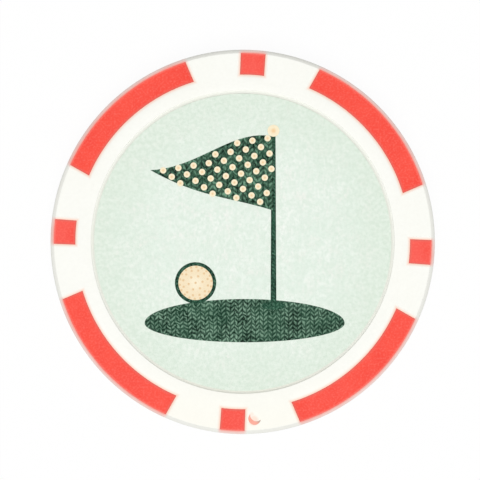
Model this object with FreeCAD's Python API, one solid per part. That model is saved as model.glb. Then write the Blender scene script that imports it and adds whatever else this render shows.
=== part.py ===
# Ball marker: a golf ball marker in the form of a moulded chip. A steel slug and a red
# colour wheel are moulded into a white body, and each face has a recess that holds a label
# of adhesive, printed paper and clear laminate.
#
# Units are millimetres. +Z points out of the front face and +Y to the top of its print.
# The origin is the centre of the back rim face, so the chip lies on the plane z = 0.
import FreeCAD, Part
import math
import os
from FreeCAD import Vector

# The label, the same on both faces. Its three layers have one outline.
adhesive_thickness = 0.03
paper_thickness = 0.08
laminate_thickness = 0.05
label_inset = 0.10          # the laminate lies this far below the rim
label_gap = 0.30            # clearance between the label and the wall of its recess
label_drop = 0.04           # the labels are stuck on this far below the middle

# The white body.
chip_diameter = 40.0
rim_width = 4.24            # from the chip's edge in to the wall of the recess
floor_thickness = 0.54      # plastic between a recess and the slug
edge_round = 0.35           # corner between each rim face and the edge
lip_round = 0.08            # eased corner at the top of the recess wall

# The steel slug.
slug_thickness = 1.8
slug_cover = 6.0            # plastic from the slug's rim out to the chip's edge
slug_chamfer = 0.3
rivet_count = 4             # plastic rivets that fill the holes through the slug
rivet_diameter = 3.0
rivet_inset = 6.0           # from the slug's rim in to the middle of a rivet

# The colour wheel: long and short edge spots in turn, on one ring hidden in the white.
spot_count = 4              # of each kind
spot_skin = 0.37            # white that wraps the outer end of a spot, at the chip's edge
spot_depth = 2.6            # from the chip's edge in to the inner end of a spot
long_spot_sweep = 49.7      # degrees, along the spot's inner edge
long_spot_flank = 18.7      # degrees between a side of the spot and its centre line
short_spot_width = 2.5      # along the spot's inner edge
short_spot_flank = 1.0      # degrees
pattern_turn = -3.2         # degrees that the spots are turned from the print's upright
ring_cover = 0.8            # white between the hidden ring and the chip's edge

# The gate mark: where the red was let in, a crescent stub of the wheel comes up to the
# floor of a shallow round pit in the front face, beside the short spot at the bottom.
gate_diameter = 1.3
gate_pit_depth = 0.04
gate_inset = 0.79           # from the ring's outer edge in to the middle of the gate
gate_turn = 7.05            # degrees from the short spot beside it
gate_thickness = 0.42       # the crescent at its thickest
gate_heading = 242.0        # degrees, the way the thick side of the crescent faces

# Sizes that follow from those above.
label_thickness = adhesive_thickness + paper_thickness + laminate_thickness
recess_depth = label_thickness + label_inset
chip_thickness = slug_thickness + 2 * (floor_thickness + recess_depth)
chip_radius = chip_diameter / 2
recess_radius = chip_radius - rim_width
label_radius = recess_radius - label_gap
slug_radius = chip_radius - slug_cover
slug_bottom = recess_depth + floor_thickness
slug_top = slug_bottom + slug_thickness
spot_outer_radius = chip_radius - spot_skin
spot_inner_radius = chip_radius - spot_depth
ring_radius = chip_radius - ring_cover
gate_floor = chip_thickness - gate_pit_depth

Z_AXIS = Vector(0, 0, 1)
ORIGIN = Vector(0, 0, 0)


def polar(radius, degrees):
    """The point at this radius and angle, counted from +X towards +Y."""
    angle = math.radians(degrees)
    return Vector(radius * math.cos(angle), radius * math.sin(angle), 0)


def cylinder(radius, bottom, top, centre=ORIGIN):
    """An upright cylinder between two heights."""
    base = Vector(centre.x, centre.y, bottom)
    return Part.makeCylinder(radius, top - bottom, base, Z_AXIS)


def quarter_arc(start, centre, end):
    """The quarter circle from start to end, in the XZ plane."""
    outward = (start - centre) + (end - centre)
    middle = centre + outward.normalize() * start.distanceToPoint(centre)
    return Part.Arc(start, middle, end).toShape()


def revolve_profile(half):
    """Revolve a half section, mirrored about the chip's mid plane, round the Z axis.

    half lists the section from the axis out to the mid plane: a point for a corner, or
    three points (start, centre, end) for a rounded corner.
    """
    edges = []
    pen = half[0]
    for step in half[1:]:
        if isinstance(step, tuple):
            start, centre, end = step
            edges.append(Part.makeLine(pen, start))
            edges.append(quarter_arc(start, centre, end))
            pen = end
        else:
            edges.append(Part.makeLine(pen, step))
            pen = step
    mid_plane = Vector(0, 0, chip_thickness / 2)
    mirrored = [edge.mirror(mid_plane, Z_AXIS) for edge in edges]
    axis_line = Part.makeLine(half[0], Vector(0, 0, chip_thickness - half[0].z))
    outline = Part.Wire(Part.__sortEdges__(edges + mirrored + [axis_line]))
    return Part.Face(outline).revolve(ORIGIN, Z_AXIS, 360)


def make_blank():
    """The whole chip without its labels: a disc with rounded edges and two recesses."""
    lip_start = Vector(recess_radius, 0, lip_round)
    lip_centre = Vector(recess_radius + lip_round, 0, lip_round)
    lip_end = Vector(recess_radius + lip_round, 0, 0)
    edge_start = Vector(chip_radius - edge_round, 0, 0)
    edge_centre = Vector(chip_radius - edge_round, 0, edge_round)
    edge_end = Vector(chip_radius, 0, edge_round)
    return revolve_profile([
        Vector(0, 0, recess_depth),
        Vector(recess_radius, 0, recess_depth),
        (lip_start, lip_centre, lip_end),
        (edge_start, edge_centre, edge_end),
        Vector(chip_radius, 0, chip_thickness / 2),
    ])


def make_slug():
    """A steel disc with a chamfered rim and a circle of holes for the rivets."""
    disc = cylinder(slug_radius, slug_bottom, slug_top)
    rims = [edge for edge in disc.Edges if edge.Closed]
    slug = disc.makeChamfer(slug_chamfer, rims)
    for index in range(rivet_count):
        centre = polar(slug_radius - rivet_inset, 360 * index / rivet_count)
        slug = slug.cut(cylinder(rivet_diameter / 2, slug_bottom, slug_top, centre))
    return slug


def spot_tool(half_sweep, flank, heading):
    """A prism with an edge spot's outline, through the whole thickness.

    half_sweep is half the spot's angle along its inner edge, and flank the angle between
    each side and the spot's centre line.
    """
    near = spot_inner_radius * math.cos(half_sweep)
    near_half_width = spot_inner_radius * math.sin(half_sweep)
    far = chip_diameter
    far_half_width = near_half_width + (far - near) * math.tan(math.radians(flank))
    corners = [
        Vector(near, -near_half_width, 0),
        Vector(far, -far_half_width, 0),
        Vector(far, far_half_width, 0),
        Vector(near, near_half_width, 0),
    ]
    outline = Part.makePolygon(corners + corners[:1])
    prism = Part.Face(outline).extrude(Vector(0, 0, chip_thickness))
    prism = prism.common(cylinder(spot_outer_radius, 0, chip_thickness))
    tool = prism.cut(cylinder(spot_inner_radius, 0, chip_thickness))
    tool.rotate(ORIGIN, Z_AXIS, heading)
    return tool


def make_spot_tools():
    """One prism for each short and long edge spot, in turn round the chip."""
    long_half_sweep = math.radians(long_spot_sweep / 2)
    short_half_sweep = math.asin(short_spot_width / 2 / spot_inner_radius)
    pitch = 360 / spot_count
    tools = []
    for index in range(spot_count):
        heading = pattern_turn + index * pitch
        tools.append(spot_tool(short_half_sweep, short_spot_flank, heading))
        tools.append(spot_tool(long_half_sweep, long_spot_flank, heading + pitch / 2))
    return tools


def make_ring():
    """The hidden ring that joins the spots and grips the slug's rim."""
    bore = cylinder(slug_radius, slug_bottom, slug_top)
    return cylinder(ring_radius, slug_bottom, slug_top).cut(bore)


def gate_centre():
    """The middle of the gate mark, beside the short spot at the bottom."""
    bottom_spot = pattern_turn - 90
    return polar(ring_radius - gate_inset, bottom_spot + gate_turn)


def make_gate_stub():
    """The crescent stub that rises from the hidden ring to the floor of the gate's pit."""
    centre = gate_centre()
    hollow_centre = centre - polar(gate_thickness, gate_heading)
    stub = cylinder(gate_diameter / 2, slug_bottom, gate_floor, centre)
    hollow = cylinder(gate_diameter / 2, slug_bottom, gate_floor, hollow_centre)
    return stub.cut(hollow)


def make_colour_wheel(blank, spot_tools):
    """The red first shot: the spots and the gate stub on the hidden ring.

    The spots run right through the chip from face to face, inside a skin of white.
    """
    spots = [blank.common(tool) for tool in spot_tools]
    wheel = make_ring().fuse(spots + [make_gate_stub()])
    return wheel.removeSplitter()


def make_white_body(blank, spot_tools, slug):
    """The white second shot: the rest of the blank, less the pit at the gate."""
    pit = cylinder(gate_diameter / 2, gate_floor, chip_thickness, gate_centre())
    body = blank
    for taken in spot_tools + [make_ring(), make_gate_stub(), slug, pit]:
        body = body.cut(taken)
    return body.removeSplitter()


def make_label(face):
    """The layers of one label, from its adhesive out, as (name, solid) pairs."""
    layers = [
        ("adhesive", adhesive_thickness),
        ("label", paper_thickness),
        ("laminate", laminate_thickness),
    ]
    centre = Vector(0, -label_drop, 0)
    depth = recess_depth
    solids = []
    for name, thickness in layers:
        shallow = depth - thickness
        if face == "front":
            bottom, top = chip_thickness - depth, chip_thickness - shallow
        else:
            bottom, top = shallow, depth
        solids.append((face + "_" + name, cylinder(label_radius, bottom, top, centre)))
        depth = shallow
    return solids


def main():
    blank = make_blank()
    slug = make_slug()
    spot_tools = make_spot_tools()
    wheel = make_colour_wheel(blank, spot_tools)
    body = make_white_body(blank, spot_tools, slug)
    nodes = [("steel_slug", slug), ("colour_wheel", wheel), ("white_body", body)]
    nodes += make_label("front") + make_label("back")
    os.makedirs("parts", exist_ok=True)
    for name, shape in nodes:
        shape.exportStep("parts/" + name + ".step")
        print(name, len(shape.Solids), "solid", shape.isValid(), round(shape.Volume, 2))


main()
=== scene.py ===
"""The looks of the ball marker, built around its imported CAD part.

Sizes are in millimetres in the part's frame, and become metres where a mesh, lamp or
camera is made. +Z points out of the front face and +Y to the top of its print.
"""
import math

import bmesh
import bpy
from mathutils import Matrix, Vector


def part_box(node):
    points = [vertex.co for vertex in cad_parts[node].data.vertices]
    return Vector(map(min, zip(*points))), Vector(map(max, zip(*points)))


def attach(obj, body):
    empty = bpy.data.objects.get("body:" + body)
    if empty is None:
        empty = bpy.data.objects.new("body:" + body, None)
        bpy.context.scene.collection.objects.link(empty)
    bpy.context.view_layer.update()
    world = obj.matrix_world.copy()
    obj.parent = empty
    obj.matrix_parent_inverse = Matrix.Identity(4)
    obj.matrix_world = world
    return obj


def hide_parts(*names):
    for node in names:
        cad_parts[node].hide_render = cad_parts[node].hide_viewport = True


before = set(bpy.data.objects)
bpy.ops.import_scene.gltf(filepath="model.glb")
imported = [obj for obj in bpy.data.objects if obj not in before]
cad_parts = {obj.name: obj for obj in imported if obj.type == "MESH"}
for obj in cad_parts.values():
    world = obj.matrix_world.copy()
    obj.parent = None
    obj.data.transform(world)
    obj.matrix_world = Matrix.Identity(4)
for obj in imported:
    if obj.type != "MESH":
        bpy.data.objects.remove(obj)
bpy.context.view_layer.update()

MM = 0.001                      # one millimetre, in metres
BODY = "root"                   # the one body that every piece rides on

# Sizes read from the frame.
chip_low, chip_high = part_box("white_body")
label_low, label_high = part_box("front_label")
glue_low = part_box("front_adhesive")[0]
slug_low, slug_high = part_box("steel_slug")
wheel_low, wheel_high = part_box("colour_wheel")
chip_radius = (chip_high.x - chip_low.x) / 2 / MM
chip_thickness = (chip_high.z - chip_low.z) / MM
spot_outer_radius = (wheel_high.x - wheel_low.x) / 2 / MM
label_radius = (label_high.x - label_low.x) / 2 / MM
label_middle = (label_high + label_low) / 2 / MM
recess_floor = glue_low.z / MM
paper_faces = {"front": label_high.z / MM, "back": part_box("back_label")[0].z / MM}

# The spots' layout, as the part has it.
spot_count = 8                  # short and long in turn
spot_inner_radius = 17.4
long_spot_sweep = 49.7          # degrees, along the inner edge
long_spot_flank = 18.7          # degrees between a side and the spot's centre line
short_spot_width = 2.5          # along the inner edge
short_spot_flank = 1.0          # degrees
pattern_turn = -3.2             # degrees

# The rest of the white body, as the part has it.
recess_radius = 15.76
lip_round = 0.08
edge_round = 0.35
flat_radius = chip_radius - edge_round
ring_radius = 19.2              # the hidden red ring's outer edge
slug_chamfer = 0.3
rivet_count = 4
rivet_radius = 1.5
rivet_reach = 8.0               # from the chip's middle out to a rivet

# The gate mark, as the part has it: a shallow pit with a crescent of red at its floor,
# beside the short spot at the bottom.
gate_centre = (1.236, -18.368)
gate_radius = 0.65
gate_pit_depth = 0.04
gate_thickness = 0.42           # the crescent at its thickest
gate_heading = 242.0            # degrees, the way the thick side of the crescent faces

# Fine detail of the moulding, too small for the part.
seam_bevel = 0.014              # the eased edge of the white beside the red
parting_depth = 0.012           # the witness line round the middle of the edge
parting_width = 0.07

# The rings of vertices of the body's fine mesh, besides those at its roundings.
floor_rings = (0.5, 4.0, 8.0, 12.0, 15.0, recess_radius)
rim_rings = (16.6, spot_inner_radius, 18.0, 18.6, 19.2, spot_outer_radius)
edge_ring = 0.6                 # this far above and below the middle of the edge
eased_angle = 50.0              # degrees between faces, above which an edge is eased
sharp_angle = 32.0              # degrees between faces, above which an edge is shaded sharp

# The print and the film over it.
ink_step = 0.005                # each ink lies this far above the one below it
ink_levels = 5                  # levels of ink, counted from the paper up
ink_root = 0.003                # how deep an ink reaches into the level below it
film_gap = 0.004                # between the highest ink and the film
film_edge = 0.012               # the rounding of the film's cut edge
film_steps = 4                  # steps along that rounding


def paint(red, green, blue):
    """A colour written as 0 to 255 values, as the shader wants it."""
    channels = []
    for value in (red / 255, green / 255, blue / 255):
        if value <= 0.04045:
            channels.append(value / 12.92)
        else:
            channels.append(((value + 0.055) / 1.055) ** 2.4)
    return (*channels, 1.0)


class Finish:
    """A material's node tree, put together with short calls."""

    def __init__(self, name):
        self.material = bpy.data.materials.new(name)
        self.material.use_nodes = True
        self.nodes = self.material.node_tree.nodes
        self.links = self.material.node_tree.links
        self.nodes.clear()
        self.output = self.nodes.new("ShaderNodeOutputMaterial")
        metres = self.add("TexCoord", {}).outputs["Object"]
        self.place = self.vector("MULTIPLY", metres, (1 / MM, 1 / MM, 1 / MM))

    def add(self, kind, inputs, **settings):
        """A node with these settings. Each input is a plain value or another node's socket."""
        node = self.nodes.new("ShaderNode" + kind)
        for key, value in settings.items():
            setattr(node, key, value)
        for key, value in inputs.items():
            if isinstance(value, bpy.types.NodeSocket):
                self.links.new(value, node.inputs[key])
            else:
                node.inputs[key].default_value = value
        return node

    def math(self, operation, a, b=0.0, c=0.0):
        return self.add("Math", {0: a, 1: b, 2: c}, operation=operation).outputs[0]

    def vector(self, operation, a, b=(0.0, 0.0, 0.0)):
        node = self.add("VectorMath", {0: a, 1: b}, operation=operation)
        return node.outputs["Value"] if operation == "LENGTH" else node.outputs["Vector"]

    def split(self):
        """The place's X, Y and Z, in millimetres."""
        return self.add("SeparateXYZ", {0: self.place}).outputs

    def noise(self, size, detail=2.0, roughness=0.5, place=None, shift=0.0):
        """Soft noise between 0 and 1 whose blotches are about size millimetres across. The
        shift moves it, so that two noises of one size differ."""
        shifted = self.vector("ADD", place or self.place, (shift, shift, 0.0))
        inputs = {"Vector": shifted, "Scale": 1 / size, "Detail": detail, "Roughness": roughness}
        return self.add("TexNoise", inputs).outputs["Fac"]

    def step(self, value, low, high, to_low=0.0, to_high=1.0):
        """A smooth step between low and high."""
        inputs = {"Value": value, "From Min": low, "From Max": high, "To Min": to_low, "To Max": to_high}
        return self.add("MapRange", inputs, interpolation_type="SMOOTHSTEP").outputs["Result"]

    def mix(self, share, first, second, blend="MIX"):
        """Two colours mixed. The share of the second is a number or a socket."""
        node = self.add("Mix", {0: share, 6: first, 7: second}, data_type="RGBA", blend_type=blend)
        return node.outputs[2]

    def bump(self, height, distance, below=None):
        """A bump of this height in millimetres, on top of the one below it."""
        inputs = {"Height": height, "Distance": distance * MM, "Strength": 1.0}
        if below is not None:
            inputs["Normal"] = below
        return self.add("Bump", inputs).outputs["Normal"]

    def surface(self, **inputs):
        """The surface shader, with its sockets named by words joined with underscores."""
        named = {key.replace("_", " "): value for key, value in inputs.items()}
        shader = self.add("BsdfPrincipled", named)
        self.links.new(shader.outputs[0], self.output.inputs["Surface"])
        return self.material


def spot_half_width(finish, along, half_sweep, flank):
    """Half a spot's width at this distance along its centre line."""
    near = spot_inner_radius * math.cos(half_sweep)
    near_half_width = spot_inner_radius * math.sin(half_sweep)
    slope = math.tan(math.radians(flank))
    return finish.math("MULTIPLY_ADD", along, slope, near_half_width - near * slope)


def spot_depth(finish):
    """How far inside the nearest spot's outline a point lies, in millimetres, with the
    radius, and 1 on the long spots and 0 on the short ones."""
    x, y, _ = finish.split()
    radius = finish.vector("LENGTH", finish.vector("MULTIPLY", finish.place, (1.0, 1.0, 0.0)))
    turned = finish.math("SUBTRACT", finish.math("ARCTAN2", y, x), math.radians(pattern_turn))
    pitch = 2 * math.pi / spot_count
    spots = [
        (0.0, math.asin(short_spot_width / 2 / spot_inner_radius), short_spot_flank),
        (pitch, math.radians(long_spot_sweep / 2), long_spot_flank),
    ]
    depths = []
    for heading, half_sweep, flank in spots:
        angle = finish.math("WRAP", finish.math("SUBTRACT", turned, heading), pitch, -pitch)
        along = finish.math("MULTIPLY", radius, finish.math("COSINE", angle))
        across = finish.math("ABSOLUTE", finish.math("MULTIPLY", radius, finish.math("SINE", angle)))
        half_width = spot_half_width(finish, along, half_sweep, flank)
        inside = finish.math("SUBTRACT", half_width, across)
        depths.append(finish.math("MULTIPLY", inside, math.cos(math.radians(flank))))
    side = finish.math("MAXIMUM", depths[0], depths[1])
    is_long = finish.math("GREATER_THAN", depths[1], depths[0])
    return side, radius, is_long


def gate_distance(finish, shift=(0.0, 0.0)):
    """The distance from the middle of the gate mark, or from a point beside it."""
    middle = (gate_centre[0] + shift[0], gate_centre[1] + shift[1], 0.0)
    offset = finish.vector("SUBTRACT", finish.place, middle)
    return finish.vector("LENGTH", finish.vector("MULTIPLY", offset, (1.0, 1.0, 0.0)))


def from_middle(finish):
    """The height above or below the chip's mid plane."""
    _, _, height = finish.split()
    return finish.math("ABSOLUTE", finish.math("SUBTRACT", height, chip_thickness / 2))


def moulded_bump(finish):
    """The skin of moulded plastic: fine spark-eroded grain over a faint long wave."""
    grain = finish.noise(0.11, detail=3.0, roughness=0.6)
    wave = finish.noise(2.4, detail=1.0)
    return finish.bump(grain, 0.0022, below=finish.bump(wave, 0.012))


def moulded_surface(finish, colour, patch_size, normal):
    """Satin plastic of this colour, polished unevenly by use in patches of this size."""
    roughness = finish.step(finish.noise(patch_size, detail=3.0), 0.25, 0.8, 0.46, 0.58)
    return finish.surface(
        Base_Color=colour, Roughness=roughness, IOR=1.49, Specular_IOR_Level=0.36,
        Normal=normal,
    )


def aged_white(finish, flat):
    """Cream white with faint blotches and specks, yellowed towards the bottom of the flat
    face."""
    _, upright, _ = finish.split()
    blotch = finish.noise(5.5, detail=2.0)
    white = finish.mix(blotch, paint(251, 251, 246), paint(249, 249, 241))
    speckle = finish.step(finish.noise(0.32, detail=1.0), 0.30, 0.75)
    white = finish.mix(finish.math("MULTIPLY", speckle, 0.35), white, paint(245, 245, 238))
    aged = finish.step(finish.math("MULTIPLY_ADD", blotch, 6.0, upright), -8.0, -17.0, 0.0, 0.55)
    return finish.mix(finish.math("MULTIPLY", aged, flat), white, paint(251, 248, 236))


def glow_round_spots(finish, colour, side, radius, flat):
    """A little red light spreads into the white plastic round each spot."""
    before = finish.math("SUBTRACT", spot_inner_radius, radius)
    outside = finish.math("MAXIMUM", finish.math("MULTIPLY", side, -1.0), before)
    close = finish.step(outside, 0.45, 0.0)
    glow = finish.math("MULTIPLY", finish.math("MULTIPLY", close, close), flat)
    return finish.mix(glow, colour, (1.0, 0.71, 0.62, 1.0), blend="MULTIPLY")


def shaded_rounding(finish, colour, radius):
    """Painted shade on the rounding of the edge, deepest at the top, which faces away from the key lamp."""
    _, upright, _ = finish.split()
    # Painted shade: the rounding is painted darker all round, and darker still at the top.
    rounding_shade = finish.step(radius, flat_radius - 0.10, flat_radius + 0.02)
    top = finish.step(upright, 17.4, 18.8)
    shade_tint = finish.mix(top, (0.835, 0.835, 0.83, 1.0), (0.765, 0.765, 0.76, 1.0))
    return finish.mix(rounding_shade, colour, shade_tint, blend="MULTIPLY")


def skin_over_spots(finish, colour, side, radius):
    """The skin over a spot's outer end: much red shows through beside the spot and little
    at the edge, with a soft border because light spreads in the plastic."""
    over_spot = finish.step(side, -0.35, 0.20)
    skin = finish.step(radius, spot_outer_radius - 0.10, spot_outer_radius - 0.01)
    uneven = finish.step(finish.noise(1.3, detail=2.0), 0.2, 0.8, 0.85, 1.0)
    shows = finish.math("MULTIPLY", finish.math("MULTIPLY", over_spot, skin), uneven)
    cloud = finish.step(finish.noise(2.6, detail=2.0), 0.3, 0.7)
    thick_skin = finish.mix(cloud, paint(238, 208, 201), paint(234, 196, 188))
    away = finish.step(radius, spot_outer_radius, spot_outer_radius + 0.24)
    return finish.mix(shows, colour, finish.mix(away, paint(243, 152, 140), thick_skin))


def shaded_recess(finish, colour, radius, off_middle):
    """Painted shade darkens the floor of the recess in uneven patches, less beside its wall."""
    depth = finish.math("SUBTRACT", chip_thickness / 2, off_middle)
    in_recess = finish.step(radius, recess_radius + 0.02, recess_radius - 0.18, 0.15, 1.0)
    # Painted shade: the sunk floor of the recess is painted darker.
    sunk = finish.math("MULTIPLY", in_recess, finish.step(depth, 0.10, 0.22))
    light_recess_shade = (0.86, 0.875, 0.86, 1.0)
    deep_recess_shade = (0.81, 0.825, 0.805, 1.0)
    recess_shade = finish.mix(finish.noise(0.8, detail=3.0), light_recess_shade, deep_recess_shade)
    return finish.mix(sunk, colour, recess_shade, blend="MULTIPLY")


def gate_stain(finish, colour):
    """The shallow pit of the gate is stained by the red under it, most beside the stub, and
    a faint smear of red leads away from it."""
    _, _, height = finish.split()
    front = finish.step(height, chip_thickness - 0.3, chip_thickness - 0.1)
    stain = finish.step(gate_distance(finish, shift=(-0.10, -0.22)), 0.70, 0.30)
    smear = finish.step(gate_distance(finish, shift=(-0.30, 0.42)), 0.36, 0.08)
    stained = finish.math("MAXIMUM", stain, finish.math("MULTIPLY", smear, 0.6))
    stained = finish.math("MULTIPLY", finish.math("MULTIPLY", stained, front), 0.8)
    return finish.mix(stained, colour, paint(253, 222, 204))


def white_plastic():
    """The white shot, with the red of the spots faintly showing through its outer skin."""
    finish = Finish("white_plastic")
    side, radius, _ = spot_depth(finish)
    off_middle = from_middle(finish)
    flat = finish.step(radius, flat_radius, flat_radius - 0.15)
    colour = aged_white(finish, flat)
    colour = glow_round_spots(finish, colour, side, radius, flat)
    colour = shaded_rounding(finish, colour, radius)
    colour = skin_over_spots(finish, colour, side, radius)
    colour = shaded_recess(finish, colour, radius, off_middle)
    colour = gate_stain(finish, colour)

    # The parting line of the mould runs round the middle of the edge.
    edge = finish.step(radius, chip_radius - 0.12, chip_radius)
    line = finish.math("MULTIPLY", finish.step(off_middle, 0.055, 0.0), edge)
    colour = finish.mix(finish.math("MULTIPLY", line, 0.35), colour, paint(226, 224, 214))
    normal = finish.bump(line, 0.015, below=moulded_bump(finish))
    return moulded_surface(finish, colour, 1.8, normal)


def gate_stub(finish):
    """The stub's colour, a pale skin of red under a film of white, darkened at one end by painted
    shade from the pit's wall, and a share that is 1 at the gate and 0 elsewhere."""
    at_gate = finish.step(gate_distance(finish), 0.75, 0.68)
    stub = finish.mix(finish.noise(0.45, detail=2.0), paint(253, 180, 162), paint(247, 158, 138))
    # Painted shade: the end of the stub by the pit's wall is painted darker and greyer.
    pit_wall_shade = finish.step(gate_distance(finish, shift=(0.62, 0.02)), 0.72, 0.26)
    return finish.mix(pit_wall_shade, stub, paint(192, 160, 146)), at_gate


def red_plastic():
    """The red shot, duller along the sides and the inner end of a spot, where it meets the
    white, with a thin line of painted shade right at that seam, and paler at the outer end, where
    it thins out under the skin."""
    finish = Finish("red_plastic")
    side, radius, is_long = spot_depth(finish)
    _, upright, _ = finish.split()
    # Painted shade: the short spot at the bottom, which the key lamp lights more, is painted a deeper red.
    low = finish.step(upright, -12.0, -18.0)
    short = finish.mix(low, paint(247, 83, 71), paint(245, 72, 58))
    red = finish.mix(is_long, short, paint(249, 71, 52))
    flow = finish.step(finish.noise(3.2, detail=3.0, roughness=0.6), 0.3, 0.75)
    red = finish.mix(finish.math("MULTIPLY", flow, 0.9), red, paint(243, 60, 43))
    speckle = finish.step(finish.noise(0.20, detail=2.0), 0.42, 0.72)
    red = finish.mix(finish.math("MULTIPLY", speckle, 0.65), red, paint(253, 102, 86))
    from_outer_end = finish.math("SUBTRACT", spot_outer_radius, radius)
    thin = finish.step(from_outer_end, 0.26, 0.0, 0.0, 0.24)
    red = finish.mix(thin, red, paint(250, 172, 160))
    from_inner_end = finish.math("SUBTRACT", radius, spot_inner_radius)
    border = finish.math("MINIMUM", side, from_inner_end)
    soft_border = finish.step(border, 0.32, 0.06, 0.0, 0.70)
    colour = finish.mix(soft_border, red, paint(230, 98, 86))
    # Painted shade: a thin darker line right at the seam with the white.
    seam_shade = finish.step(border, 0.10, 0.03, 0.0, 0.35)
    colour = finish.mix(seam_shade, colour, paint(204, 80, 70))
    stub, at_gate = gate_stub(finish)
    colour = finish.mix(at_gate, colour, stub)
    return moulded_surface(finish, colour, 1.5, moulded_bump(finish))


def steel():
    """The slug: cold-rolled steel with fine rolling lines and a mottle of scale."""
    finish = Finish("rolled_steel")
    drawn = finish.vector("MULTIPLY", finish.place, (0.08, 1.0, 1.0))
    lines = finish.noise(0.12, detail=4.0, roughness=0.7, place=drawn)
    scale = finish.step(finish.noise(2.2, detail=4.0), 0.35, 0.75)
    colour = finish.mix(lines, paint(182, 184, 186), paint(148, 150, 153))
    colour = finish.mix(finish.math("MULTIPLY", scale, 0.4), colour, paint(134, 132, 130))
    roughness = finish.step(lines, 0.2, 0.8, 0.28, 0.46)
    return finish.surface(
        Base_Color=colour, Metallic=1.0, Roughness=roughness, Normal=finish.bump(lines, 0.004),
    )


def adhesive():
    """The label's adhesive: a milky film that has picked up a little dust at its rim."""
    finish = Finish("adhesive")
    clouds = finish.noise(0.9, detail=3.0)
    colour = finish.mix(clouds, paint(238, 238, 226), paint(228, 229, 216))
    dust = finish.step(finish.noise(0.09, detail=1.0), 0.62, 0.74, 0.0, 0.35)
    colour = finish.mix(dust, colour, paint(190, 186, 172))
    return finish.surface(
        Base_Color=colour, Roughness=finish.step(clouds, 0.2, 0.8, 0.45, 0.62),
        Normal=finish.bump(clouds, 0.006),
    )


def label_paper():
    """Mint parchment: soft blotches, pinkish clouds, fine grain and a deeper rim."""
    finish = Finish("label_paper")
    blotch = finish.step(finish.noise(3.4, detail=4.0, roughness=0.62), 0.30, 0.72)
    colour = finish.mix(blotch, paint(246, 251, 244), paint(234, 246, 235))
    cloud = finish.step(finish.noise(1.6, detail=5.0, roughness=0.7, shift=31.0), 0.46, 0.68)
    colour = finish.mix(finish.math("MULTIPLY", cloud, 0.55), colour, paint(246, 243, 237))
    flock = finish.step(finish.noise(0.40, detail=3.0, roughness=0.65, shift=57.0), 0.36, 0.66)
    colour = finish.mix(finish.math("MULTIPLY", flock, 0.60), colour, paint(223, 236, 224))
    fibre_place = finish.vector("MULTIPLY", finish.place, (1.0, 0.55, 1.0))
    fibre = finish.step(finish.noise(0.26, detail=3.0, roughness=0.65, place=fibre_place), 0.32, 0.70)
    colour = finish.mix(finish.math("MULTIPLY", fibre, 0.74), colour, paint(221, 236, 222))
    offset = finish.vector("SUBTRACT", finish.place, (label_middle.x, label_middle.y, 0.0))
    radius = finish.vector("LENGTH", finish.vector("MULTIPLY", offset, (1.0, 1.0, 0.0)))
    uneven = finish.math("MULTIPLY", finish.math("SUBTRACT", finish.noise(4.0, detail=3.0), 0.5), 4.0)
    rim = finish.step(finish.math("ADD", radius, uneven), 8.0, label_radius + 0.5)
    rim_tone = finish.mix(flock, paint(227, 239, 225), paint(214, 229, 212))
    colour = finish.mix(finish.math("MULTIPLY", rim, 0.62), colour, rim_tone)

    # The cut edge, below the printed face, shows the white core.
    face = paper_faces["front"] - chip_thickness / 2
    printed = finish.step(from_middle(finish), face - 0.004, face - 0.001)
    core = finish.mix(finish.noise(0.06, detail=2.0), paint(244, 243, 236), paint(232, 231, 222))
    colour = finish.mix(printed, core, colour)
    return finish.surface(
        Base_Color=colour, Roughness=finish.step(fibre, 0.0, 1.0, 0.52, 0.62),
        Specular_IOR_Level=0.20,
        Normal=finish.bump(fibre, 0.0015),
    )


def knit_value(finish, size, raggedness):
    """A herringbone knit between 0 and 1: slanting strokes that turn from rib to rib and
    sink where two ribs meet."""
    x, y, _ = finish.split()
    rib_width = 0.95 * size
    wander = finish.math("SUBTRACT", finish.noise(size * 1.6, detail=2.0), 0.5)
    sway = finish.math("MULTIPLY", wander, size)
    rib = finish.math("PINGPONG", finish.math("ADD", x, sway), rib_width)
    slant = finish.math("ADD", finish.math("ADD", y, rib), sway)
    stroke = finish.math("SINE", finish.math("MULTIPLY", slant, 2 * math.pi / size))
    off_centre = finish.math("ABSOLUTE", finish.math("SUBTRACT", rib, rib_width / 2))
    seam = finish.step(off_centre, 0.26 * rib_width, 0.50 * rib_width)
    shown = finish.math("MULTIPLY", stroke, finish.math("MULTIPLY_ADD", seam, -0.75, 1.0))
    broken = finish.noise(size * 0.55, detail=2.0, roughness=0.6)
    patch = finish.noise(size * 2.6, detail=2.0)
    value = finish.math("MULTIPLY_ADD", shown, 0.5 - raggedness, 0.55)
    value = finish.math("MULTIPLY_ADD", seam, -0.28, value)
    breaks = finish.math("SUBTRACT", broken, 0.5)
    value = finish.math("MULTIPLY_ADD", breaks, 2.2 * raggedness + 0.6, value)
    return finish.math("MULTIPLY_ADD", finish.math("SUBTRACT", patch, 0.5), 0.9, value)


def knit_ink(name, size, raggedness, light, dark):
    """Ink printed as a picture of knitted cloth, between these two greens."""
    finish = Finish(name)
    value = knit_value(finish, size, raggedness)
    middle = tuple((a + b) / 2 for a, b in zip(light, dark))
    colour = finish.mix(finish.step(value, 0.05, 0.55), paint(*dark), paint(*middle))
    colour = finish.mix(finish.step(value, 0.50, 1.0), colour, paint(*light))
    tone = finish.step(finish.noise(2.2, detail=1.0, shift=47.0), 0.35, 0.7)
    colour = finish.mix(finish.math("MULTIPLY", tone, 0.30), colour, paint(42, 88, 66))
    return finish.surface(
        Base_Color=colour, Roughness=finish.step(value, 0.0, 1.0, 0.50, 0.60),
        Specular_IOR_Level=0.04,
        Normal=finish.bump(value, 0.0008),
    )


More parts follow.
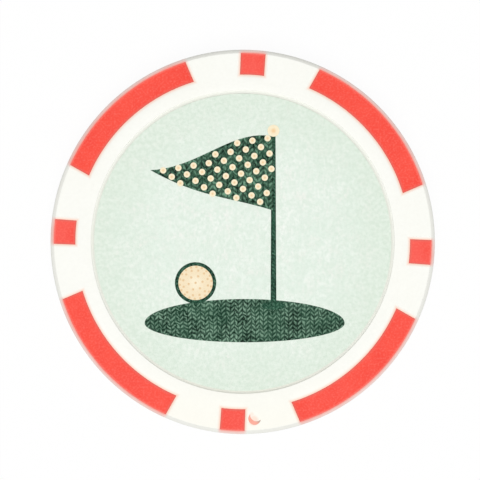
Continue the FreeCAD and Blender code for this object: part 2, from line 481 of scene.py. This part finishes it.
def cream_ink(name, pale, deep):
    """Cream ink, pale at its rim and deep where the shade attribute rises to 1."""
    finish = Finish(name)
    shade = finish.add("Attribute", {}, attribute_name="shade").outputs["Fac"]
    colour = finish.mix(finish.step(shade, 0.35, 0.95), paint(*pale), paint(*deep))
    grain = finish.step(finish.noise(0.16, detail=2.0), 0.35, 0.75)
    colour = finish.mix(finish.math("MULTIPLY", grain, 0.25), colour, paint(246, 222, 186))
    return finish.surface(
        Base_Color=colour, Roughness=finish.step(grain, 0.0, 1.0, 0.50, 0.60),
        Specular_IOR_Level=0.10,
        Normal=finish.bump(grain, 0.0008),
    )


def clear_film():
    """The laminate: clear and satin, with a trace of haze and a faint ripple from being
    rolled on."""
    finish = Finish("clear_film")
    ripple = finish.noise(1.9, detail=2.0)
    haze = finish.mix(ripple, paint(168, 176, 172), paint(150, 160, 155))
    return finish.surface(
        Base_Color=haze, Alpha=0.006, Roughness=finish.step(ripple, 0.2, 0.8, 0.18, 0.30),
        Normal=finish.bump(ripple, 0.010),
    )


def quarter_round(centre, radius, start, steps):
    """Points of a quarter circle in the section, turning clockwise from this angle."""
    points = []
    for index in range(steps + 1):
        angle = math.radians(start - 90 * index / steps)
        points.append((centre[0] + radius * math.cos(angle), centre[1] + radius * math.sin(angle)))
    return points


def body_section():
    """The body's section as (radius, height) points, from near the middle of the front
    recess out over the rim and round to the back."""
    top = chip_thickness
    middle = chip_thickness / 2
    half = [(radius, recess_floor) for radius in floor_rings]
    half += quarter_round((recess_radius + lip_round, top - lip_round), lip_round, 180, 6)
    half += [(radius, top) for radius in rim_rings]
    half += quarter_round((flat_radius, top - edge_round), edge_round, 90, 12)
    half += [(chip_radius, middle + edge_ring), (chip_radius, middle + parting_width / 2)]
    groove = [(chip_radius - parting_depth, middle)]
    mirrored = [(radius, chip_thickness - height) for radius, height in reversed(half)]
    return half + groove + mirrored


def spot_sides(radius):
    """The angles of the spots' sides at this radius, in turn round the chip."""
    reach = min(max(radius, spot_inner_radius), spot_outer_radius)
    sides = []
    for index in range(spot_count):
        heading = math.radians(pattern_turn + 360 * index / spot_count)
        half_sweep = math.asin(short_spot_width / 2 / spot_inner_radius)
        flank = math.radians(short_spot_flank)
        if index % 2:
            half_sweep = math.radians(long_spot_sweep / 2)
            flank = math.radians(long_spot_flank)
        x = spot_inner_radius * math.cos(half_sweep)
        y = spot_inner_radius * math.sin(half_sweep)
        lean = x * math.cos(flank) + y * math.sin(flank)
        run = -lean + math.sqrt(lean ** 2 + reach ** 2 - spot_inner_radius ** 2)
        half = math.atan2(y + run * math.sin(flank), x + run * math.cos(flank))
        sides += [heading - half, heading + half]
    return sides


def body_columns(radius):
    """The angles of the body's columns of vertices, which follow the sides of the spots,
    and for each column whether the strip after it lies on a spot."""
    sides = spot_sides(radius)
    fixed = spot_sides(spot_inner_radius)
    angles = []
    on_spot = []
    for index in range(len(sides)):
        after = (index + 1) % len(sides)
        turn = 2 * math.pi if after == 0 else 0.0
        steps = max(4, round(math.degrees(fixed[after] + turn - fixed[index])))
        for step in range(steps):
            angles.append(sides[index] + (sides[after] + turn - sides[index]) * step / steps)
            on_spot.append(index % 2 == 0)
    return angles, on_spot


def body_shell():
    """The outer form of the white body as one fine mesh, open where the red spots pass
    through it."""
    section = body_section()
    mesh = bmesh.new()
    rows = []
    for radius, height in section:
        angles, on_spot = body_columns(radius)
        row = []
        for angle in angles:
            point = Vector((radius * math.cos(angle), radius * math.sin(angle), height))
            row.append(mesh.verts.new(point * MM))
        rows.append(row)
    count = len(on_spot)
    spot_rows = []
    for row, (radius, _) in enumerate(section):
        if radius in (spot_inner_radius, spot_outer_radius):
            spot_rows.append(row)
    front_inner, front_outer, back_outer, back_inner = spot_rows
    for row in range(len(section) - 1):
        near, far = rows[row], rows[row + 1]
        in_band = front_inner <= row < front_outer or back_outer <= row < back_inner
        for column in range(count):
            if in_band and on_spot[column]:
                continue
            after = (column + 1) % count
            mesh.faces.new((near[column], near[after], far[after], far[column]))
    mesh.faces.new(rows[0])
    mesh.faces.new(rows[-1])

    # The walls of the spots' openings, from the front face to the back face.
    rows_back = rows[::-1]
    for column in range(count):
        after = (column + 1) % count
        if on_spot[column]:
            for row in (front_inner, front_outer):
                front, back = rows[row], rows_back[row]
                mesh.faces.new((front[column], front[after], back[after], back[column]))
        if on_spot[column] != on_spot[column - 1]:
            for row in range(front_inner, front_outer):
                front, front_next = rows[row][column], rows[row + 1][column]
                back, back_next = rows_back[row][column], rows_back[row + 1][column]
                mesh.faces.new((front, front_next, back_next, back))
    bmesh.ops.recalc_face_normals(mesh, faces=mesh.faces)
    return mesh


def make_body(material):
    """The white body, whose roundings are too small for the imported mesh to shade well."""
    body = as_object("body", body_shell())

    # The seams and the foot of the recess wall are eased before the hollows are cut, so that
    # the corners of the hollows aren't.
    ease = body.modifiers.new("seams", "BEVEL")
    ease.width = seam_bevel * MM
    ease.segments = 2
    ease.limit_method = "ANGLE"
    ease.angle_limit = math.radians(eased_angle)
    tools = body_tools()
    for operation, tool in tools:
        cut = body.modifiers.new(tool.name, "BOOLEAN")
        cut.operation = operation
        cut.solver = "EXACT"
        cut.object = tool
    bpy.context.view_layer.update()
    evaluated = body.evaluated_get(bpy.context.evaluated_depsgraph_get())
    finished = bpy.data.meshes.new_from_object(evaluated)
    body.modifiers.clear()
    body.data = finished
    for _, tool in tools:
        bpy.data.objects.remove(tool)
    smooth(finished)
    finished.materials.clear()
    finished.materials.append(material)
    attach(body, BODY)
    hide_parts("white_body")


def as_object(name, mesh):
    """Turn a finished bmesh into an object of the scene."""
    piece = bpy.data.objects.new(name, bpy.data.meshes.new(name))
    mesh.to_mesh(piece.data)
    mesh.free()
    bpy.context.scene.collection.objects.link(piece)
    return piece


def body_tools():
    """The hollows inside the body, as (operation, tool) pairs in their order."""
    slug_radius = slug_high.x / MM
    slug_bottom, slug_top = slug_low.z / MM, slug_high.z / MM
    half = [
        (0.0, slug_bottom),
        (slug_radius - slug_chamfer, slug_bottom),
        (slug_radius, slug_bottom + slug_chamfer),
        (slug_radius, slug_bottom),
        (ring_radius, slug_bottom),
    ]
    hollow = half + [(radius, slug_bottom + slug_top - height) for radius, height in reversed(half)]
    rivets = []
    for index in range(rivet_count):
        angle = math.radians(360 * index / rivet_count)
        middle = (rivet_reach * math.cos(angle), rivet_reach * math.sin(angle))
        rivets.append(ellipse(middle, rivet_radius, rivet_radius, count=48))
    gate_floor = chip_thickness - gate_pit_depth
    gate = ellipse(gate_centre, gate_radius, gate_radius, count=48)

    # The rivets, the stub's hole and the pit reach past what they join or open.
    rivet_bottom, rivet_top = slug_bottom - 0.1, slug_top + 0.1
    stub_bottom, stub_top = slug_top - 0.5, gate_floor + 0.02
    pit_top = chip_thickness + 1
    return [
        ("DIFFERENCE", lathe("hollow", hollow)),
        ("UNION", prism("rivets", rivets, rivet_bottom, rivet_top)),
        ("DIFFERENCE", prism("stub_hole", [crescent()], stub_bottom, stub_top)),
        ("DIFFERENCE", prism("pit", [gate], gate_floor, pit_top)),
    ]


def crescent():
    """The outline of the red stub at the gate, a round less a round of the same size."""
    turn = math.radians(gate_heading)
    hollow_x = gate_centre[0] - gate_thickness * math.cos(turn)
    hollow_y = gate_centre[1] - gate_thickness * math.sin(turn)
    inner = math.degrees(math.acos(gate_thickness / 2 / gate_radius))
    outer = 180 - inner
    back = ellipse(gate_centre, gate_radius, gate_radius, gate_heading - outer, 2 * outer, 40)
    hollow = (hollow_x, hollow_y)
    front = ellipse(hollow, gate_radius, gate_radius, gate_heading + inner, -2 * inner, 28)
    return back + front[1:-1]


def prism(name, outlines, low, high):
    """A tool with these outlines, between two heights."""
    mesh = bmesh.new()
    for outline in outlines:
        bottom = [mesh.verts.new(Vector((x, y, low)) * MM) for x, y in outline]
        top = [mesh.verts.new(Vector((x, y, high)) * MM) for x, y in outline]
        mesh.faces.new(bottom)
        mesh.faces.new(top)
        for index in range(len(outline)):
            after = (index + 1) % len(outline)
            mesh.faces.new((bottom[index], bottom[after], top[after], top[index]))
    bmesh.ops.recalc_face_normals(mesh, faces=mesh.faces)
    return as_object(name, mesh)


def lathe(name, section, count=240):
    """A tool turned from this section, which starts and ends on the axis. Its columns are
    turned a little, so that none meets a vertex of a rivet."""
    mesh = bmesh.new()
    first = mesh.verts.new(Vector((0, 0, section[0][1])) * MM)
    last = mesh.verts.new(Vector((0, 0, section[-1][1])) * MM)
    rows = []
    for radius, height in section[1:-1]:
        circle = ellipse((0, 0), radius, radius, start=0.7, count=count)
        rows.append([mesh.verts.new(Vector((x, y, height)) * MM) for x, y in circle])
    for index in range(count):
        after = (index + 1) % count
        mesh.faces.new((first, rows[0][after], rows[0][index]))
        mesh.faces.new((last, rows[-1][index], rows[-1][after]))
        for near, far in zip(rows, rows[1:]):
            mesh.faces.new((near[index], near[after], far[after], far[index]))
    bmesh.ops.recalc_face_normals(mesh, faces=mesh.faces)
    return as_object(name, mesh)


def smooth(mesh):
    """Smooth shading that keeps the sharp corners."""
    mesh.polygons.foreach_set("use_smooth", [True] * len(mesh.polygons))
    mesh.set_sharp_from_angle(angle=math.radians(sharp_angle))


# The print: a pin flag on a green, with a ball beside it. Points are in millimetres from
# the middle of the label.
pole_x = 3.2
pole_foot = -6.6
pole_top = 11.6
pole_width = 0.60
pole_taper = 0.7                # its width at the top, as a share of that at the foot
finial_radius = 0.62
pennant_top = 11.0
pennant_bottom = 3.3
pennant_tip = (-9.6, 7.5)
dot_diameter = 0.66
dot_start = (-1.3, -1.1)        # the first dot, from the pennant's top corner at the pole
dot_pitch = (1.58, 0.25)        # from one dot to the next in its row
dot_row = (0.89, -0.67)         # from one row to the next
dot_reach = 14                  # dots and rows tried each way from the first
dot_margin = 0.2                # cloth that a dot needs round its middle
green_half_width = 10.4
green_middle = (0.2, -8.4)
green_rise = 2.5
green_fall = 2.0
hole_size = (1.25, 0.42)        # half its width and height
ball_radius = 2.15
ball_x = -4.9
ball_sunk = 0.15                # how deep the ball sits in the grass
ball_outline = 0.36
dimple_radius = 0.13
dimple_leans = (24.0, 47.0, 68.0)   # degrees from the middle of the ball to each ring


def bezier(start, first, second, end, count):
    """Points along a cubic curve, without its last one."""
    points = []
    for index in range(count):
        t = index / count
        weights = ((1 - t) ** 3, 3 * t * (1 - t) ** 2, 3 * t * t * (1 - t), t ** 3)
        corners = (start, first, second, end)
        points.append(tuple(sum(w * c[axis] for w, c in zip(weights, corners)) for axis in (0, 1)))
    return points


def ellipse(middle, half_width, half_height, start=0.0, sweep=360.0, count=96):
    """Points along an ellipse, or along part of one."""
    points = []
    steps = count if sweep == 360.0 else count + 1
    for index in range(steps):
        angle = math.radians(start + sweep * index / count)
        x = middle[0] + half_width * math.cos(angle)
        y = middle[1] + half_height * math.sin(angle)
        points.append((x, y))
    return points


def pennant_outline():
    """A long pennant that streams to the left with one soft wave in it."""
    hoist_top = (pole_x, pennant_top)
    hoist_bottom = (pole_x, pennant_bottom)
    tip_x, tip_y = pennant_tip
    swell = (pole_x - 4.2, pennant_top + 0.9)
    dip = (tip_x + 5.0, tip_y + 0.2)
    upper = bezier(hoist_top, swell, dip, pennant_tip, 24)
    sag = (tip_x + 5.2, tip_y - 2.9)
    lift = (pole_x - 4.4, pennant_bottom + 1.4)
    lower = bezier(pennant_tip, sag, lift, hoist_bottom, 24)
    return upper + lower + [hoist_bottom]


def green_outline():
    """The green: a low mound, flatter below than above."""
    top = ellipse(green_middle, green_half_width, green_rise, 0.0, 180.0, 48)
    bottom = ellipse(green_middle, green_half_width, green_fall, 180.0, 180.0, 48)
    return top + bottom[1:-1]


def green_height(x):
    """The height of the green's upper edge at x."""
    share = (x - green_middle[0]) / green_half_width
    return green_middle[1] + green_rise * math.sqrt(1 - share * share)


def inside(point, outline):
    """Whether a point lies inside a closed outline."""
    x, y = point
    found = False
    for (ax, ay), (bx, by) in zip(outline, outline[1:] + outline[:1]):
        if (ay > y) != (by > y) and x < ax + (y - ay) * (bx - ax) / (by - ay):
            found = not found
    return found


def on_face(face, x, y, height):
    """A point of the print, this far above the paper of the front or the back label."""
    way = 1 if face == "front" else -1
    point = (label_middle.x + way * x, label_middle.y + y, paper_faces[face] + way * height)
    return Vector(point) * MM


def add_piece(name, vertices, faces, material, shades=None):
    """A mesh piece that rides on the one body. The shades, one for each vertex, become
    its shade attribute."""
    mesh = bpy.data.meshes.new(name)
    mesh.from_pydata(vertices, [], faces)
    if shades is not None:
        layer = mesh.attributes.new("shade", "FLOAT", "POINT")
        layer.data.foreach_set("value", shades)
    mesh.materials.append(material)
    piece = bpy.data.objects.new(name, mesh)
    bpy.context.scene.collection.objects.link(piece)
    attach(piece, BODY)
    return piece


def sheet_of_ink(name, face, outlines, level, material):
    """A thin sheet of ink with these outlines, at its level above the paper."""
    vertices = []
    faces = []
    for outline in outlines:
        start = len(vertices)
        count = len(outline)
        vertices += [on_face(face, x, y, level * ink_step) for x, y in outline]
        vertices += [on_face(face, x, y, (level - 1) * ink_step - ink_root) for x, y in outline]
        top = [start + index for index in range(count)]
        bottom = [start + count + index for index in range(count)]
        faces += [tuple(top), tuple(reversed(bottom))]
        faces += zip(top[1:] + top[:1], top, bottom, bottom[1:] + bottom[:1])
    return add_piece(name, vertices, faces, material)


def dots_of_ink(name, face, centres, radius, level, material, rim=24):
    """Round dots of ink, whose shade rises from 0 at the rim to 1 in the middle."""
    top = level * ink_step
    bottom = top - ink_step - ink_root
    vertices = []
    faces = []
    shades = []
    for x, y in centres:
        start = len(vertices)
        for reach, height in ((radius, bottom), (radius, top), (radius / 2, top)):
            ring = ellipse((x, y), reach, reach, count=rim)
            vertices += [on_face(face, px, py, height) for px, py in ring]
        vertices.append(on_face(face, x, y, top))
        shades += [0.0] * rim * 2 + [0.5] * rim + [1.0]
        middle = start + 3 * rim
        faces.append(tuple(start + rim - 1 - index for index in range(rim)))
        for index in range(rim):
            after = (index + 1) % rim
            for near in (start, start + rim):
                far = near + rim
                faces.append((near + index, near + after, far + after, far + index))
            inner = start + 2 * rim
            faces.append((inner + index, inner + after, middle))
    return add_piece(name, vertices, faces, material, shades)


def lattice(outline):
    """The pennant's polka dots: a staggered lattice, kept where it falls on the cloth."""
    tries = range(-dot_reach, dot_reach + 1)
    signs = ((-1, -1), (-1, 1), (1, -1), (1, 1))
    centres = []
    for row in tries:
        for column in tries:
            x = pole_x + dot_start[0] + column * dot_pitch[0] + row * dot_row[0]
            y = pennant_top + dot_start[1] + column * dot_pitch[1] + row * dot_row[1]
            corners = [(x + dot_margin * across, y + dot_margin * up) for across, up in signs]
            if inside((x, y), outline) and sum(inside(c, outline) for c in corners) >= 3:
                centres.append((x, y))
    return centres


def dimples(middle, radius):
    """The ball's dimples, closer together towards its limb as on a real sphere."""
    centres = [middle]
    for ring, lean in enumerate(dimple_leans, start=1):
        count = 6 * ring
        reach = radius * math.sin(math.radians(lean))
        for index in range(count):
            angle = math.radians(360 * index / count + 9.0 * ring)
            centres.append((middle[0] + reach * math.cos(angle), middle[1] + reach * math.sin(angle)))
    return centres


def print_label(face, inks):
    """The whole print on one face's label: the green, the flag that stands in its hole,
    and the ball."""
    name = face + "_print_"
    sheet_of_ink(name + "green", face, [green_outline()], 1, inks["green"])
    sheet_of_ink(name + "hole", face, [ellipse((pole_x, pole_foot), *hole_size, count=48)], 2, inks["dark"])
    foot, top = pole_width / 2, pole_taper * pole_width / 2
    pole = [
        (pole_x - foot, pole_foot), (pole_x + foot, pole_foot),
        (pole_x + top, pole_top), (pole_x - top, pole_top),
    ]
    sheet_of_ink(name + "pole", face, [pole], 3, inks["dark"])
    pennant = pennant_outline()
    sheet_of_ink(name + "pennant", face, [pennant], 4, inks["cloth"])
    dots_of_ink(name + "polka", face, lattice(pennant), dot_diameter / 2, ink_levels, inks["dot"])
    finial = [(pole_x, pole_top)]
    dots_of_ink(name + "finial", face, finial, finial_radius, ink_levels, inks["dot"], rim=40)
    ball = (ball_x, green_height(ball_x) + ball_radius - ball_sunk)
    rim = ball_radius - ball_outline
    sheet_of_ink(name + "ball_outline", face, [ellipse(ball, ball_radius, ball_radius)], 2, inks["dark"])
    dots_of_ink(name + "ball", face, [ball], rim, 3, inks["ball"], rim=64)
    dots_of_ink(name + "dimples", face, dimples(ball, rim), dimple_radius, 4, inks["dimple"], rim=16)


def lay_film(face, material):
    """The laminate over the print, a disc with a softly rounded cut edge."""
    low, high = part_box(face + "_laminate")
    thickness = (high.z - low.z) / MM
    rings = [(label_radius, ink_levels * ink_step + film_gap)]
    for index in range(film_steps + 1):
        angle = math.radians(90 * index / film_steps)
        radius = label_radius - film_edge * (1 - math.cos(angle))
        rings.append((radius, thickness - film_edge * (1 - math.sin(angle))))
    count = 180
    vertices = []
    for radius, height in rings:
        circle = ellipse((0, 0), radius, radius, count=count)
        vertices += [on_face(face, x, y, height) for x, y in circle]
    faces = [tuple(range(count - 1, -1, -1))]
    for ring in range(len(rings) - 1):
        near = ring * count
        far = near + count
        for index in range(count):
            after = (index + 1) % count
            faces.append((near + index, near + after, far + after, far + index))
    top = (len(rings) - 1) * count
    faces.append(tuple(range(top, top + count)))
    film = add_piece(face + "_film", vertices, faces, material)
    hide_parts(face + "_laminate")


def dress(node, material):
    """Give a CAD node its material."""
    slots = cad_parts[node].data.materials
    slots.clear()
    slots.append(material)


def add_lamp(name, heading, elevation, distance, size, level):
    """A soft square lamp aimed at the chip. level is the brightness that it gives a white
    surface facing it."""
    lamp = bpy.data.lights.new(name, "AREA")
    lamp.shape = "SQUARE"
    lamp.size = size
    lamp.energy = level * math.pi ** 2 * distance ** 2
    holder = bpy.data.objects.new(name, lamp)
    bpy.context.scene.collection.objects.link(holder)
    angle, rise = math.radians(heading), math.radians(elevation)
    way = Vector((math.cos(rise) * math.cos(angle), math.cos(rise) * math.sin(angle), math.sin(rise)))
    holder.location = way * distance
    holder.rotation_euler = (-way).to_track_quat("-Z", "Y").to_euler()
    holder.visible_camera = False


def seen_directly(nodes, links):
    """1 for a ray that shows the background: from the camera, a reflection or a clear film."""
    path = nodes.new("ShaderNodeLightPath")
    seen = path.outputs["Is Camera Ray"]
    for name in ("Is Glossy Ray", "Is Transmission Ray"):
        either = nodes.new("ShaderNodeMath")
        either.operation = "MAXIMUM"
        links.new(seen, either.inputs[0])
        links.new(path.outputs[name], either.inputs[1])
        seen = either.outputs[0]
    return seen


def add_world(level):
    """White where it is seen, and a soft light of this level everywhere else."""
    world = bpy.data.worlds.new("studio")
    bpy.context.scene.world = world
    world.use_nodes = True
    nodes, links = world.node_tree.nodes, world.node_tree.links
    nodes.clear()
    output = nodes.new("ShaderNodeOutputWorld")
    light = nodes.new("ShaderNodeBackground")
    light.inputs["Color"].default_value = (1.0, 1.0, 1.0, 1.0)
    light.inputs["Strength"].default_value = level
    white = nodes.new("ShaderNodeBackground")
    white.inputs["Color"].default_value = (1.0, 1.0, 1.0, 1.0)
    white.inputs["Strength"].default_value = 1.0
    mix = nodes.new("ShaderNodeMixShader")
    links.new(seen_directly(nodes, links), mix.inputs[0])
    links.new(light.outputs[0], mix.inputs[1])
    links.new(white.outputs[0], mix.inputs[2])
    links.new(mix.outputs[0], output.inputs["Surface"])


def add_floor(half_size, shadow_share):
    """A pale floor, this many metres each way, just under the chip. It is seen as white and
    keeps a share of the chip's shadow."""
    drop = 0.02 * MM
    signs = ((-1, -1), (1, -1), (1, 1), (-1, 1))
    corners = [(half_size * across, half_size * up, chip_low.z - drop) for across, up in signs]
    mesh = bpy.data.meshes.new("floor")
    mesh.from_pydata(corners, [], [(0, 1, 2, 3)])
    floor = bpy.data.objects.new("floor", mesh)
    bpy.context.scene.collection.objects.link(floor)
    finish = Finish("floor")
    diffuse = finish.add("BsdfDiffuse", {"Color": (0.97, 0.97, 0.97, 1.0)})
    white = finish.add("Emission", {"Color": (1.0, 1.0, 1.0, 1.0), "Strength": 1.0})
    shown = finish.add("MixShader", {0: shadow_share, 1: white.outputs[0], 2: diffuse.outputs[0]})
    seen = seen_directly(finish.nodes, finish.links)
    mix = finish.add("MixShader", {0: seen, 1: diffuse.outputs[0], 2: shown.outputs[0]})
    finish.links.new(mix.outputs[0], finish.output.inputs["Surface"])
    mesh.materials.append(finish.material)


def add_camera(lens, chip_share, offset):
    """A camera that looks straight down on the chip, which fills this share of the frame's
    width. The offset moves it across, in millimetres."""
    camera = bpy.data.cameras.new("camera")
    camera.lens = lens
    camera.sensor_width = 36.0
    camera.clip_start = 0.01
    holder = bpy.data.objects.new("camera", camera)
    bpy.context.scene.collection.objects.link(holder)
    distance = 2 * chip_radius * lens / camera.sensor_width / chip_share
    holder.location = (offset[0] * MM, offset[1] * MM, (chip_thickness + distance) * MM)
    bpy.context.scene.camera = holder


def main():
    inks = {
        "dark": knit_ink("ink_dark", size=0.40, raggedness=0.26, light=(78, 120, 98), dark=(2, 32, 20)),
        "cloth": knit_ink("ink_cloth", size=0.56, raggedness=0.26, light=(116, 158, 132), dark=(4, 28, 16)),
        "green": knit_ink("ink_green", size=0.46, raggedness=0.18, light=(134, 168, 145), dark=(1, 29, 16)),
        "dot": cream_ink("ink_dot", pale=(253, 240, 208), deep=(246, 208, 158)),
        "ball": cream_ink("ink_ball", pale=(248, 230, 196), deep=(254, 243, 216)),
        "dimple": cream_ink("ink_dimple", pale=(238, 208, 164), deep=(226, 190, 146)),
    }
    make_body(white_plastic())
    dress("colour_wheel", red_plastic())
    dress("steel_slug", steel())
    glue = adhesive()
    paper = label_paper()
    film = clear_film()
    for face in ("front", "back"):
        dress(face + "_adhesive", glue)
        dress(face + "_label", paper)
        print_label(face, inks)
        lay_film(face, film)
    add_world(level=0.63)
    add_lamp("key", heading=-90.0, elevation=70.0, distance=1.60, size=0.90, level=0.448)
    add_floor(half_size=2.0, shadow_share=0.07)
    add_camera(lens=200.0, chip_share=0.8017, offset=(-0.281, 0.198))
    bpy.context.scene.view_settings.view_transform = "Standard"


main()
